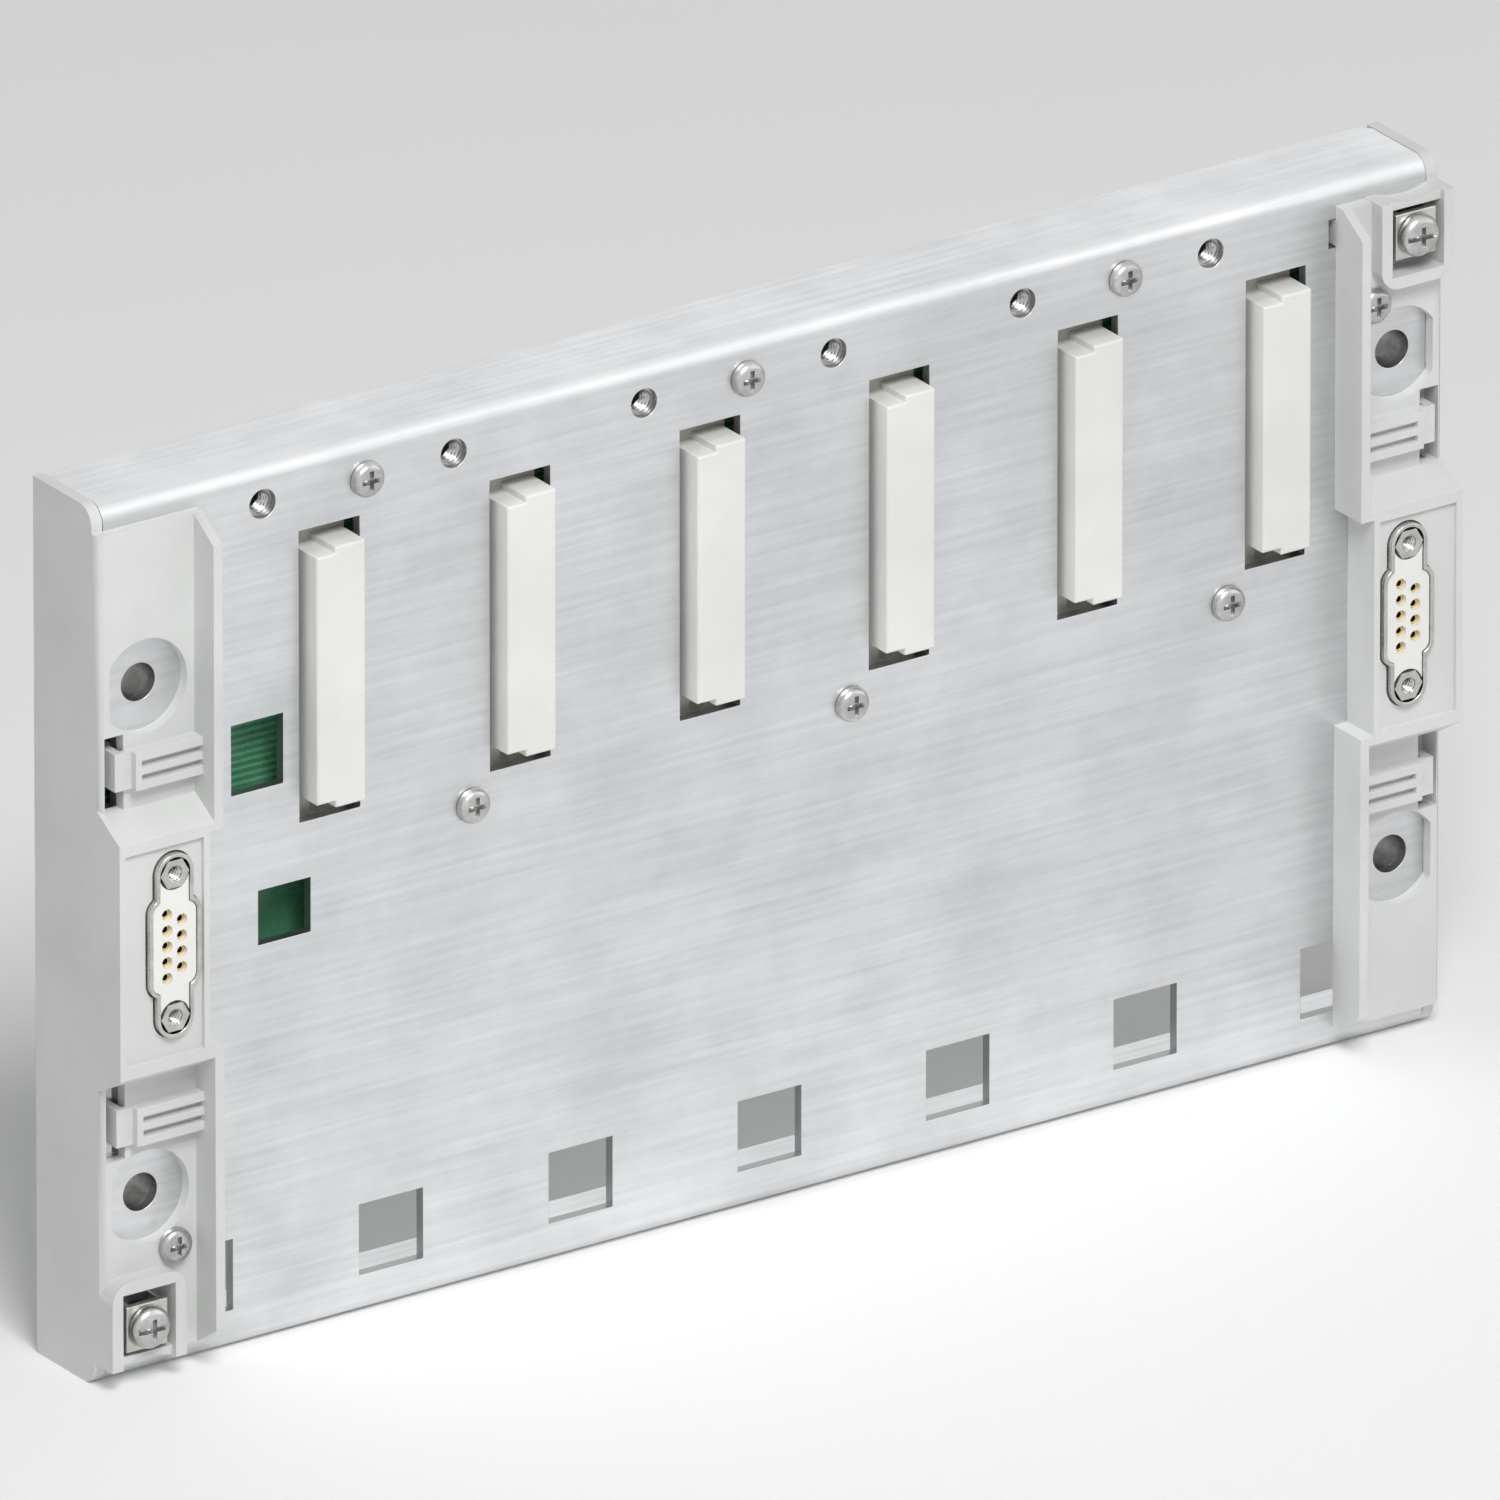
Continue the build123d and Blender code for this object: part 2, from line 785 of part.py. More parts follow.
def save_fasteners():
    for i, (x, z) in enumerate(board_screw_places(), 1):
        save(f"board_screw_{i}", board_screw(x, z))
        save(f"board_spacer_{i}", board_spacer(x, z))
    corners = [(x, z) for x in (-1, 1) for z in (-1, 1)]
    for i, (x, z) in enumerate(corners, 1):
        save(f"fixing_spacer_{i}", fixing_spacer(x * panel_spacing_x / 2, z * panel_spacing_z / 2))


def save_end(name, side, cap):
    """One end of the rack: its cap, cap screw, earth terminal and port."""
    save(f"{name}_end_cap", cap - port_window(side * port_x))
    screw_place = on_end(side, cap_screw_x, cap_screw_z)
    save(f"{name}_cap_screw", at(*screw_place, cap_floor_front, m3_screw(cap_screw_length)))
    place = on_end(side, earth_x, earth_z)
    save(f"{name}_earth_clamp", at(*place, front_depth, earth_clamp()))
    save(f"{name}_earth_screw", at(*place, front_depth + clamp_height, earth_screw()))
    save(f"{name}_earth_nut", at(*place, sheet_back, press_nut()))
    port = (side * port_x, port_rise, board_front + port_body_height)
    save(f"{name}_port_shell", at(*port, port_shell()))
    save(f"{name}_port_insulator", at(*port, port_insulator()))
    save(f"{name}_port_contacts", at(*port, port_contacts()))
    for position, (x, z) in zip(("lower", "upper"), jack_places()):
        save(f"{name}_{position}_jack", at(*port, port_jack(x, z)))


os.makedirs("parts", exist_ok=True)
save("chassis", chassis())
save("backplane_board", backplane_board())
save_slots()
save_fasteners()
save_end("left", -1, cap_body())
save_end("right", 1, half_turn(cap_body()))
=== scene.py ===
"""Finishes, threads, solder joints and stage for a backplane rack of plug-in controller modules."""

import json
import math

import bpy
import numpy as np
from bpy.props import FloatProperty, FloatVectorProperty, IntProperty, PointerProperty
from mathutils import Matrix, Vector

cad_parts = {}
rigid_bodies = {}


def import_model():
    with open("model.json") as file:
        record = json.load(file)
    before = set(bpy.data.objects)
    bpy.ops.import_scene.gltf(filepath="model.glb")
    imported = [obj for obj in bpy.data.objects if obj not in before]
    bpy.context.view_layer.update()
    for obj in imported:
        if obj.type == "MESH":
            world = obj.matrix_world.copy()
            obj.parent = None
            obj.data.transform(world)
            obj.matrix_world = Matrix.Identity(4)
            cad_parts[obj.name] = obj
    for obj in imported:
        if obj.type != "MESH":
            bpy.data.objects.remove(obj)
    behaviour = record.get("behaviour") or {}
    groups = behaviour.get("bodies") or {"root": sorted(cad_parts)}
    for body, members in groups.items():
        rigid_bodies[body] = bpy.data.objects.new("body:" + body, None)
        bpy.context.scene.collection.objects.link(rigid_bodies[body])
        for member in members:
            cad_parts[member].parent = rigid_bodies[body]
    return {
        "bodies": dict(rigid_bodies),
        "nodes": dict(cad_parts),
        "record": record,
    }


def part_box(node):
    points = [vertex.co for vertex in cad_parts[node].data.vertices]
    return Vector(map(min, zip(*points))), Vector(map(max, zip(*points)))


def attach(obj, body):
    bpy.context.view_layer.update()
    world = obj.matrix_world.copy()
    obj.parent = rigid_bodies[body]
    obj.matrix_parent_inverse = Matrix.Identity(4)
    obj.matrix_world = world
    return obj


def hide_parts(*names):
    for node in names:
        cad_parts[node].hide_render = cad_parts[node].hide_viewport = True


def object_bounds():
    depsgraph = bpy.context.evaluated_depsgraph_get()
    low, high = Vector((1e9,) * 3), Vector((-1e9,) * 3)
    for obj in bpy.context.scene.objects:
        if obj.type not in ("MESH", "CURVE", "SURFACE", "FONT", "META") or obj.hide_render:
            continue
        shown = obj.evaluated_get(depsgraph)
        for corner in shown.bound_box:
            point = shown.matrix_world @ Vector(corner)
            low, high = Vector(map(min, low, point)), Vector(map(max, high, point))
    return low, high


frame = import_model()

cad_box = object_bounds()
body_name = next(iter(frame["bodies"]))
slot_colours = {row["slot"]: row["base_color"] for row in frame["record"]["materials"]}

bl_info = {
    "name": "Backplane Rack Finishes",
    "version": (1, 0, 0),
    "blender": (4, 5, 0),
    "location": "3D View > Sidebar > Rack",
    "description": "Finishes, screw threads, solder joints and a studio for a backplane rack",
    "category": "Object",
}

sides = ("left", "right")


# Settings

def length(name, description, metres):
    """A length that a user may change, in metres."""
    return FloatProperty(
        name=name, description=description, default=metres, min=0.0,
        unit="LENGTH", subtype="DISTANCE", precision=6,
    )


def plain_colour(name, description, default):
    """A colour that a user may change."""
    return FloatVectorProperty(
        name=name, description=description, default=default,
        min=0.0, max=1.0, size=3, subtype="COLOR",
    )


def slot_colour(name, description, slot):
    """A colour that a user may change, which starts as the record gives it."""
    return plain_colour(name, description, slot_colours[slot][:3])


def share(name, description, value, highest=1.0):
    """A number between 0 and its highest value that a user may change."""
    return FloatProperty(
        name=name, description=description, default=value, min=0.0, max=highest, subtype="FACTOR",
    )


def lamp_power(name, description, watts):
    """A lamp's power that a user may change."""
    return FloatProperty(name=name, description=description, default=watts, min=0.0, unit="POWER")


def view_angle(name, description, degrees):
    """An angle of the camera that a user may change, given in degrees."""
    return FloatProperty(
        name=name, description=description, default=math.radians(degrees),
        subtype="ANGLE", unit="ROTATION",
    )


class RackColours(bpy.types.PropertyGroup):
    """The base colour of each finish."""

    zinc_sheet: slot_colour("Sheet", "Zinc plating of the folded channel", "zinc_sheet")
    cut_steel: share("Cut edges", "Tone of the sheet's bare cut edges against its plating", 0.5)
    cap_plastic: slot_colour("End caps", "Moulded plastic of the end caps", "cap_plastic")
    cover_plastic: slot_colour("Dust covers", "Plastic of the push-on covers", "cover_plastic")
    socket_plastic: slot_colour("Slot sockets", "Plastic of the slot sockets", "socket_plastic")
    board_laminate: slot_colour("Board", "Solder mask of the backplane board", "board_laminate")
    nickel_plate: slot_colour("Port shells", "Nickel plating of shells and jack screws", "nickel_plate")
    port_plastic: slot_colour("Port bodies", "Plastic of the port insulators", "port_plastic")
    contact_gold: slot_colour("Contacts", "Gold plating of the port contacts", "contact_gold")
    zinc_screw: slot_colour("Screws", "Bright zinc plating of screws, nuts and spacers", "zinc_screw")
    terminal_nickel: slot_colour("Terminals", "Nickel plating of the earth clamps", "terminal_nickel")
    solder: plain_colour("Solder", "Tin solder on the board's back", (0.72, 0.73, 0.74))


class RackEdges(bpy.types.PropertyGroup):
    """The sheet's own form, and how far the sharp edges of each kind of piece are rounded."""

    sheet_thickness: length("Sheet thickness", "Depth of the bare punched walls", 0.002)
    sheet_bend: length("Bend radius", "Outer radius of the sheet's two long bends", 0.0031)
    sheet: length("Sheet edges", "Rounding of the punched sheet's edges", 0.00012)
    moulding: length("Moulded edges", "Rounding of the end caps' edges", 0.00008)
    cover: length("Cover edges", "Rounding of the dust covers' edges", 0.00012)
    socket: length("Socket edges", "Rounding of the slot sockets' edges", 0.0001)
    shell: length("Shell edges", "Rounding of the port shells' edges", 0.0002)
    clamp: length("Clamp edges", "Rounding of the earth clamps' edges", 0.00025)
    steps: IntProperty(
        name="Steps", description="Facets across a rounded edge of a cap, shell or clamp",
        default=3, min=1, max=6,
    )
    fine_steps: IntProperty(
        name="Fine steps", description="Facets across a rounded edge of sheet, socket or cover",
        default=2, min=1, max=6,
    )


class RackScrews(bpy.types.PropertyGroup):
    """Heads, threads and drive recesses of the screws."""

    m3_head_height: length("M3 head height", "Height of the small pan heads", 0.0017)
    m3_head_round: length("M3 head rounding", "Rounding of the small pan heads", 0.0012)
    m3_diameter: length("M3 diameter", "Outer diameter of the small threads", 0.003)
    m3_pitch: length("M3 pitch", "Pitch of the small threads", 0.0005)
    m4_head_height: length("M4 head height", "Height of the earth screws' heads", 0.0022)
    m4_head_round: length("M4 head rounding", "Rounding of the earth screws' heads", 0.0014)
    m4_diameter: length("M4 diameter", "Outer diameter of the larger threads", 0.004)
    m4_pitch: length("M4 pitch", "Pitch of the larger threads", 0.0007)
    jack_diameter: length("Jack thread diameter", "Bore of the jack screws", 0.0028)
    jack_pitch: length("Jack thread pitch", "Pitch of the jack screws' threads", 0.000635)
    jack_depth: length("Jack thread depth", "Depth of the jack screws' threads", 0.005)
    spacer_depth: length("Spacer thread depth", "Thread open behind a board screw's tip", 0.0018)
    thread_share: share("Thread height", "Height of a thread as a share of its pitch", 0.55)
    recess_span: length("Recess span", "Length of the cross recess", 0.0034)
    recess_width: length("Recess width", "Width of the recess's arms", 0.0008)
    recess_depth: length("Recess depth", "Depth of the cross recess", 0.001)
    slot_span: length("Slot span", "Length of the slot across an earth screw", 0.0058)
    recess_taper: share("Recess taper", "Floor of a recess as a share of its mouth", 0.72)
    recess_edge: length("Recess edge", "Rounding of the recess's edge", 0.00007)


class RackSolder(bpy.types.PropertyGroup):
    """Solder joints and pins on the board's back."""

    rows: IntProperty(name="Rows", description="Pin rows of a slot socket", default=3, min=1, max=4)
    pins: IntProperty(name="Pins", description="Pins in a socket's row", default=16, min=2, max=40)
    pitch: length("Pitch", "Distance between a socket's pins", 0.00254)
    pin_radius: length("Pin radius", "Radius of a socket's pin", 0.00028)
    pin_reach: length("Pin reach", "How far a pin stands out of the board", 0.0013)
    foot_radius: length("Joint radius", "Radius of a solder joint on the board", 0.00082)
    joint_height: length("Joint height", "Height of a solder joint", 0.0008)
    contact_radius: length("Contact radius", "Radius of a port contact's sleeve", 0.00095)
    tail_radius: length("Tail radius", "Radius of the solder round a port contact's tail", 0.00041)
    tail_foot_radius: length("Tail joint radius", "Radius of a tail's solder joint", 0.0009)
    tail_reach: length("Tail joint reach", "How far solder climbs a tail", 0.00095)


class RackStage(bpy.types.PropertyGroup):
    """Floor, lights and camera."""

    floor_colour: plain_colour("Floor", "Colour of the floor", (0.93, 0.93, 0.93))
    floor_radius: length("Floor radius", "Half the floor's width", 12.0)
    floor_lift: share("Floor lift", "White added to the floor only where it is seen", 0.05)
    world_light: share("World light", "Even light from all round", 0.29, 4.0)
    key_power: lamp_power("Key light", "Power of the key light", 31.0)
    fill_power: lamp_power("Fill light", "Power of the fill light", 6.0)
    azimuth: view_angle("Azimuth", "Turn of the camera about the upright axis", -34.26)
    elevation: view_angle("Elevation", "Height of the camera above the level", 23.16)
    distance: length("Distance", "From the camera to the rack; far, for parallel edges", 10.0)
    frame_width: length("Frame width", "Width of the picture at the rack", 0.24197)
    aim_right: length("Aim to the right", "Picture centre to the right of the origin", 0.006475)
    aim_below: length("Aim below", "Picture centre below the origin", 0.002507)


# Surfaces worked out as whole arrays

def skin(rings, poles=None, loop=False):
    """Points, and the faces between rings of points, each ring closed on itself.

    Ring k and ring k + 1 are joined point by point. With poles, the first and last rings are
    closed by fans to those two points. With loop, the last ring is joined to the first. The
    faces are a list of arrays, first the quads and then the fans.
    """
    count, around = rings.shape[:2]
    index = np.arange(count * around).reshape(count, around)
    beside = np.roll(index, -1, axis=1)
    upper = np.roll(index, -1, axis=0)
    upper_beside = np.roll(beside, -1, axis=0)
    last = count if loop else count - 1
    quads = np.stack([index, beside, upper_beside, upper], axis=-1)[:last].reshape(-1, 4)
    points = rings.reshape(-1, 3)
    if poles is None:
        return points, [quads]
    low = np.full(around, count * around)
    low_fan = np.stack([low, beside[0], index[0]], axis=-1)
    high_fan = np.stack([low + 1, index[-1], beside[-1]], axis=-1)
    return np.concatenate([points, poles]), [quads, np.concatenate([low_fan, high_fan])]


def turned_rings(radius, height, angle):
    """Points at (radius cos angle, radius sin angle, height) for every ring and angle."""
    radius, height, angle = np.broadcast_arrays(radius, height, angle)
    return np.stack([radius * np.cos(angle), radius * np.sin(angle), height], axis=-1)


def to_front(points, x, y, z):
    """Points drawn about their own axis, turned so that their z looks to the front."""
    return np.stack([x + points[..., 0], y - points[..., 2], z + points[..., 1]], axis=-1)


def to_back(points, x, y, z):
    """Points drawn about their own axis, turned so that their z looks to the back."""
    return np.stack([x - points[..., 0], y + points[..., 2], z + points[..., 1]], axis=-1)


def repeated(points, faces, offsets):
    """One shape copied to every offset, as a single set of points and faces.

    Copy k has the shape's points plus offset k, and its corners count on from copy k - 1.
    """
    copies = points[None, :, :] + offsets[:, None, :]
    starts = len(points) * np.arange(len(offsets))[:, None, None]
    return copies.reshape(-1, 3), [(group + starts).reshape(-1, group.shape[1]) for group in faces]


def make_piece(name, points, faces, material, smooth_angle=math.radians(35)):
    """A mesh object at the origin that rides on the rack."""
    mesh = bpy.data.meshes.new(name)
    mesh.from_pydata(points.tolist(), [], [face for group in faces for face in group.tolist()])
    mesh.materials.append(material)
    mesh.shade_smooth()
    mesh.set_sharp_from_angle(angle=smooth_angle)
    piece = bpy.data.objects.new(name, mesh)
    bpy.context.collection.objects.link(piece)
    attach(piece, body_name)
    return piece


def middle(node):
    """The centre of a node's box."""
    low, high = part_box(node)
    return (np.array(low) + np.array(high)) / 2


def thread_wave(turns):
    """A triangle wave over a thread's turns: 0 at a crest and 1 at a root."""
    return 1 - np.abs(2 * (turns % 1.0) - 1)


def recess_angles(half_x, half_z, half_arm, steps=(3, 6)):
    """Angles round a cross that meet each of its twelve corners, with steps between them."""
    across, along = steps
    first = math.atan2(half_arm, half_x)
    second = math.pi / 2 - math.atan2(half_arm, half_z)
    quarter = np.concatenate([
        np.linspace(0, first, across, endpoint=False),
        np.linspace(first, math.pi / 4, along, endpoint=False),
        np.linspace(math.pi / 4, second, along, endpoint=False),
        np.linspace(second, math.pi / 2, across, endpoint=False),
    ])
    mirrored = math.pi - np.concatenate([quarter[1:], [math.pi / 2]])[::-1]
    half = np.concatenate([quarter, mirrored])
    return np.concatenate([half, half + math.pi])


def recess_outline(angle, half_x, half_z, half_arm):
    """How far a cross reaches at each angle: the larger reach of its two bars.

    A bar of half length a and half width b reaches min(a / |cos|, b / |sin|).
    """
    above_zero = 1e-9
    cos = np.maximum(np.abs(np.cos(angle)), above_zero)
    sin = np.maximum(np.abs(np.sin(angle)), above_zero)
    bar_x = np.minimum(half_x / cos, half_arm / sin)
    bar_z = np.minimum(half_arm / cos, half_z / sin)
    return np.maximum(bar_x, bar_z)


def pan_head_height(radius, head_radius, head_height, head_round):
    """Height of a pan head at a radius: level in the middle, then a quarter circle down."""
    past = np.clip(radius - (head_radius - head_round), 0, head_round)
    return head_height - head_round + np.sqrt(head_round ** 2 - past ** 2)


def threaded_shank(shank_radius, pitch, reach, thread_share, angle):
    """Radius and height of the rings from a shank's tip up its thread to the head.

    The radius is the shank's, less the thread's height times a triangle wave of
    height / pitch - angle / full turn. The thread runs out below the head.
    """
    tip = 0.8 * pitch
    run_out = 1.5 * pitch
    head_gap = 0.02 * pitch
    rings_per_turn = 7
    fewest_rings = 8
    level = np.ones_like(angle)
    count = max(fewest_rings, int(round((reach - tip) / pitch * rings_per_turn)))
    rise = np.linspace(-reach + tip, -head_gap, count)[:, None]
    depth = thread_share * pitch * np.clip(-rise / run_out, 0, 1)
    thread = shank_radius - depth * thread_wave(rise / pitch - angle / (2 * math.pi))
    radius = np.concatenate([[(shank_radius - tip) * level], thread])
    height = np.concatenate([[-reach * level], rise * level])
    return radius, height


def recessed_head(settings, head_radius, head, outline):
    """Radius and height of the rings over a pan head, from its underside into its recess.

    Each ring of the dome lies part way between the head's rim and the recess's outline.
    """
    head_height, head_round = head
    corner = 0.1 * head_radius
    corner_rise = 0.6 * corner
    dome_rings = 9
    level = np.ones_like(outline)
    inwards = 1 - np.cos(np.linspace(0, math.pi / 2, dome_rings))[:, None]
    dome_radius = head_radius + inwards * (outline + settings.recess_edge - head_radius)
    dome = pan_head_height(dome_radius, head_radius, head_height, head_round)
    mouth = pan_head_height(outline, head_radius, head_height, head_round) - settings.recess_edge
    floor = (head_height - settings.recess_depth) * level
    radius = np.concatenate([
        [(head_radius - corner) * level, head_radius * level],
        dome_radius,
        [outline, settings.recess_taper * outline],
    ])
    height = np.concatenate([[0 * level, corner_rise * level], dome, [mouth, floor]])
    return radius, height


def screw_surface(settings, head_radius, head, shank_radius, pitch, reach, slot_span):
    """A threaded pan screw on its own axis, its head's underside at height 0.

    Rings go from the shank's tip up the thread, round the head and into the recess, whose
    floor ends in a shallow cone.
    """
    half_arm = settings.recess_width / 2
    half_z = settings.recess_span / 2
    half_x = max(half_z, slot_span / 2)
    angle = recess_angles(half_x, half_z, half_arm)
    outline = recess_outline(angle, half_x, half_z, half_arm)
    shank = threaded_shank(shank_radius, pitch, reach, settings.thread_share, angle)
    top = recessed_head(settings, head_radius, head, outline)
    radius, height = (np.concatenate(rings) for rings in zip(shank, top))
    cone = 0.25 * settings.recess_depth
    deepest = head[0] - settings.recess_depth - cone
    return skin(turned_rings(radius, height, angle), poles=[(0, 0, -reach), (0, 0, deepest)])


def thread_sleeve(radius, pitch, reach, share_of_pitch, around=48, rings_per_turn=8):
    """A thin closed sleeve that lines a bore with a thread, from height 0 down to -reach.

    Its inner radius is the bore's less the thread's height times a triangle wave of
    height / pitch - angle / full turn, and its outer face lies just inside the metal.
    """
    skin_depth = 0.00002
    run_out = 0.6 * pitch
    fewest_rings = 6
    angle = np.linspace(0, 2 * math.pi, around, endpoint=False)
    count = max(fewest_rings, int(round(reach / pitch * rings_per_turn)))
    fall = np.linspace(0, -reach, count)[:, None]
    height = share_of_pitch * pitch * np.clip(np.minimum(-fall, fall + reach) / run_out, 0, 1)
    inner = radius - skin_depth - height * (1 - thread_wave(fall / pitch - angle / (2 * math.pi)))
    outer = np.full((2, around), radius + skin_depth)
    radii = np.concatenate([inner, outer])
    levels = np.concatenate([fall * np.ones_like(angle), [[-reach] * around, [0.0] * around]])
    return skin(turned_rings(radii, levels, angle), loop=True)


def solder_joint(foot, pin, joint_height, reach, around=8):
    """A pin in a hollow-sided solder cone.

    The cone's radius is the pin's, plus what its foot has more times (1 - share of height)
    squared.
    """
    pin_tip = 0.7 * pin
    tip_height = 0.4 * pin
    angle = np.linspace(0, 2 * math.pi, around, endpoint=False)
    step = np.array([0.0, 0.3, 0.65, 1.0])
    cone = pin + (foot - pin) * (1 - step) ** 2
    radius = np.concatenate([cone, [pin, pin_tip]])[:, None]
    height = np.concatenate([joint_height * step, [reach - tip_height, reach]])[:, None]
    return skin(turned_rings(radius, height, angle), poles=[(0, 0, 0), (0, 0, reach)])


# Nodes of a material

def add_node(tree, kind, sockets=None, **settings):
    """A node with its options set and its sockets filled or joined."""
    node = tree.nodes.new(kind)
    for key, value in settings.items():
        setattr(node, key, value)
    for key, value in (sockets or {}).items():
        if isinstance(value, bpy.types.NodeSocket):
            tree.links.new(value, node.inputs[key])
        else:
            node.inputs[key].default_value = value
    return node


def start_material(name, metallic, **sockets):
    """A material with its shader and the object's own coordinates."""
    material = bpy.data.materials.new(name)
    material.use_nodes = True
    tree = material.node_tree
    shader = tree.nodes["Principled BSDF"]
    shader.inputs["Metallic"].default_value = metallic
    for key, value in sockets.items():
        shader.inputs[key.replace("_", " ")].default_value = value
    coords = add_node(tree, "ShaderNodeTexCoord").outputs["Object"]
    return material, tree, shader, coords


def noise(tree, coords, scale, detail=3.0, roughness=0.5, stretch=(1.0, 1.0, 1.0)):
    """Noise between 0 and 1; scale is in waves to a metre, and stretch scales each axis."""
    if stretch != (1.0, 1.0, 1.0):
        coords = add_node(tree, "ShaderNodeMapping", {"Vector": coords, "Scale": stretch}).outputs[0]
    sockets = {"Vector": coords, "Scale": scale, "Detail": detail, "Roughness": roughness}
    return add_node(tree, "ShaderNodeTexNoise", sockets).outputs["Fac"]


def ranged(tree, value, span, new_span):
    """A value mapped from one span to a new one, and held within it."""
    sockets = dict(enumerate((value, *span, *new_span)))
    return add_node(tree, "ShaderNodeMapRange", sockets).outputs[0]


def calc(tree, operation, first, second=0.0):
    """The result of an arithmetic operation on one or two values."""
    return add_node(tree, "ShaderNodeMath", {0: first, 1: second}, operation=operation).outputs[0]


def weighed(tree, first, second, first_share):
    """The first value times its share, plus the second times the rest."""
    part = calc(tree, "MULTIPLY", first, first_share)
    rest = calc(tree, "MULTIPLY", second, 1.0 - first_share)
    return calc(tree, "ADD", part, rest)


def blended(tree, factor, first, second):
    """A colour between two colours."""
    factor_input, first_input, second_input, colour_output = 0, 6, 7, 2
    sockets = {factor_input: factor, first_input: first, second_input: second}
    return add_node(tree, "ShaderNodeMix", sockets, data_type="RGBA").outputs[colour_output]


def shade(colour, factor):
    """A colour made darker or lighter, as four numbers."""
    return tuple(min(1.0, c * factor) for c in colour) + (1.0,)


def mottled(tree, pattern, span, colour, tones):
    """A colour that goes from the first of two tones to the second as a pattern rises."""
    first, second = (shade(colour, tone) for tone in tones)
    return blended(tree, ranged(tree, pattern, span, (0.0, 1.0)), first, second)


def set_look(tree, shader, colour, roughness):
    """Join a colour and a roughness that both vary to the shader."""
    tree.links.new(colour, shader.inputs["Base Color"])
    tree.links.new(roughness, shader.inputs["Roughness"])


def add_bump(tree, shader, height, metres, strength=1.0):
    """Relief of this depth in metres."""
    sockets = {"Height": height, "Distance": metres, "Strength": strength}
    bump = add_node(tree, "ShaderNodeBump", sockets)
    tree.links.new(bump.outputs[0], shader.inputs["Normal"])


# Materials

def cut_faces(tree, coords, edges):
    """1 where the sheet was cut: on the walls of its punched holes and on its rear edges.

    What lies behind the front face, less deep than the sheet is thick and between the two long
    bends is a punched wall.
    """
    low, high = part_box("chassis")
    face_depth = 0.00005
    centre = (low[2] + high[2]) / 2
    half_flat = (high[2] - low[2]) / 2 - edges.sheet_bend
    _, y, z = add_node(tree, "ShaderNodeSeparateXYZ", {0: coords}).outputs
    depth = calc(tree, "SUBTRACT", y, low[1])
    from_centre = calc(tree, "ABSOLUTE", calc(tree, "SUBTRACT", z, centre))
    behind_front = calc(tree, "GREATER_THAN", depth, face_depth)
    before_inside = calc(tree, "LESS_THAN", depth, edges.sheet_thickness - face_depth)
    between_bends = calc(tree, "LESS_THAN", from_centre, half_flat)
    in_sheet = calc(tree, "MULTIPLY", behind_front, before_inside)
    wall = calc(tree, "MULTIPLY", in_sheet, between_bends)
    rear = calc(tree, "GREATER_THAN", y, high[1] - face_depth)
    return calc(tree, "MAXIMUM", wall, rear)


def zinc_sheet_material(colours, edges):
    """Zinc-plated sheet: cloudy tone, faint rolling lines along the rack and a fine grain."""
    _, tree, shader, coords = start_material("rack_zinc_sheet", 1.0)
    clouds = noise(tree, coords, scale=45.0, detail=5.0, roughness=0.6)
    lines = noise(tree, coords, scale=900.0, roughness=0.6, stretch=(0.03, 1.0, 1.0))
    grain = noise(tree, coords, scale=5200.0, detail=2.0)
    tone = weighed(tree, clouds, lines, first_share=0.6)
    span = (0.36, 0.64)
    plated = mottled(tree, tone, span, colours.zinc_sheet, tones=(0.8, 1.02))
    bare = shade(colours.zinc_sheet, colours.cut_steel)
    colour = blended(tree, cut_faces(tree, coords, edges), plated, bare)
    rough_to_smooth = (0.46, 0.33)
    set_look(tree, shader, colour, ranged(tree, tone, span, rough_to_smooth))
    relief = calc(tree, "ADD", calc(tree, "MULTIPLY", lines, 0.5), grain)
    add_bump(tree, shader, relief, metres=0.000012, strength=0.8)


def moulded_material(slot, colour, roughness, texture, depth):
    """Moulded plastic: a spark-eroded texture, faint flow clouds and an uneven sheen."""
    _, tree, shader, coords = start_material(f"rack_{slot}", 0.0)
    flow = noise(tree, coords, scale=38.0, roughness=0.55)
    spark = noise(tree, coords, scale=texture, detail=2.0, roughness=0.6)
    tone = mottled(tree, flow, (0.35, 0.65), colour, tones=(0.93, 1.03))
    sheen = weighed(tree, flow, spark, first_share=0.4)
    smooth_to_rough = (roughness - 0.06, roughness + 0.08)
    set_look(tree, shader, tone, ranged(tree, sheen, (0.3, 0.7), smooth_to_rough))
    add_bump(tree, shader, spark, depth)


def plated_material(slot, colour, roughness, dull, bright):
    """Plated metal: dull patches, fine tumbling marks and a smooth ground."""
    _, tree, shader, coords = start_material(f"rack_{slot}", 1.0)
    patches = noise(tree, coords, scale=320.0, detail=4.0, roughness=0.6)
    marks = noise(tree, coords, scale=3800.0, roughness=0.7)
    span = (0.35, 0.65)
    tone = mottled(tree, patches, span, colour, tones=(dull, bright))
    mixed = weighed(tree, patches, marks, first_share=0.6)
    rough_to_smooth = (roughness + 0.1, roughness - 0.04)
    set_look(tree, shader, tone, ranged(tree, mixed, span, rough_to_smooth))
    add_bump(tree, shader, marks, metres=0.000006, strength=0.7)


